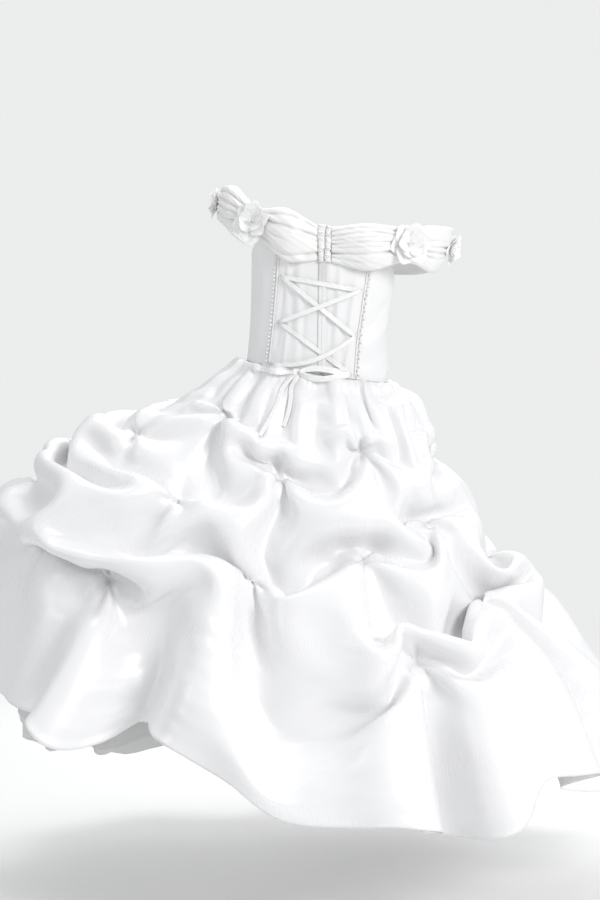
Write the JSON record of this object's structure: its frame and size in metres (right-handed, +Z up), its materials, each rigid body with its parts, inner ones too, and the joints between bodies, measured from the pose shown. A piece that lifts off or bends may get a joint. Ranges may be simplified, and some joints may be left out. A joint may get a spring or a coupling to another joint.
{
  "type": "flower girl dress",
  "caption": "Off-shoulder satin dress with a laced bodice, pleated collar with fabric flowers and a full pick-up skirt held out at one side.",
  "frame": {"origin": "the middle of the waist seam, where the wearer's waist holds the dress", "axes": "+Z up, +Y the way the wearer faces, +X to the wearer's right; the laced back faces -Y"},
  "size_m": [1.0165, 0.8784, 0.8683],
  "materials": {
    "bodice_satin": "bridal satin, soft cool-white sheen, warp running down",
    "trim_satin": "satin folded or rolled narrow",
    "pearl": "small cream pearl beads",
    "ribbon_satin": "double-folded satin ribbon",
    "collar_satin": "pleated bridal satin",
    "petal_satin": "crisp satin and organza petals with pearl stamens",
    "skirt_satin": "heavy bridal satin with broad soft highlights",
    "lining_cloth": "matte thin lining cloth, slightly grey"
  },
  "bodies": {
    "root": {"bodice_front_side_right": "bodice_satin", "bodice_front_centre": "bodice_satin", "bodice_front_side_left": "bodice_satin", "bodice_side_back_left": "bodice_satin", "bodice_back_left": "bodice_satin", "bodice_back_right": "bodice_satin", "bodice_side_back_right": "bodice_satin", "zip_placket": "trim_satin", "piping_left": "trim_satin", "piping_right": "trim_satin", "pearl_row_left": "pearl", "pearl_row_right": "pearl", "lacing_loop_left_1": "trim_satin", "lacing_loop_left_2": "trim_satin", "lacing_loop_left_3": "trim_satin", "lacing_loop_right_1": "trim_satin", "lacing_loop_right_2": "trim_satin", "lacing_loop_right_3": "trim_satin", "lacing_top": "ribbon_satin", "lacing_cross_under": "ribbon_satin", "lacing_cross_over": "ribbon_satin", "lacing_lower": "ribbon_satin", "lacing_slack": "ribbon_satin", "bow_knot": "ribbon_satin", "bow_loop_left": "ribbon_satin", "bow_loop_right": "ribbon_satin", "bow_tail_left": "ribbon_satin", "bow_tail_right": "ribbon_satin", "collar_back_left": "collar_satin", "sleeve_band_left": "collar_satin", "collar_front": "collar_satin", "sleeve_band_right": "collar_satin", "collar_back_right": "collar_satin", "collar_centre_tab": "collar_satin", "flower_back_left_outer_petals": "petal_satin", "flower_back_left_inner_petals": "petal_satin", "flower_back_right_outer_petals": "petal_satin", "flower_back_right_inner_petals": "petal_satin", "flower_outer_left_outer_petals": "petal_satin", "flower_outer_left_inner_petals": "petal_satin", "flower_outer_right_outer_petals": "petal_satin", "flower_outer_right_inner_petals": "petal_satin", "skirt_back": "skirt_satin", "skirt_front": "skirt_satin", "lining_back": "lining_cloth", "lining_front": "lining_cloth"}
  },
  "joints": []
}
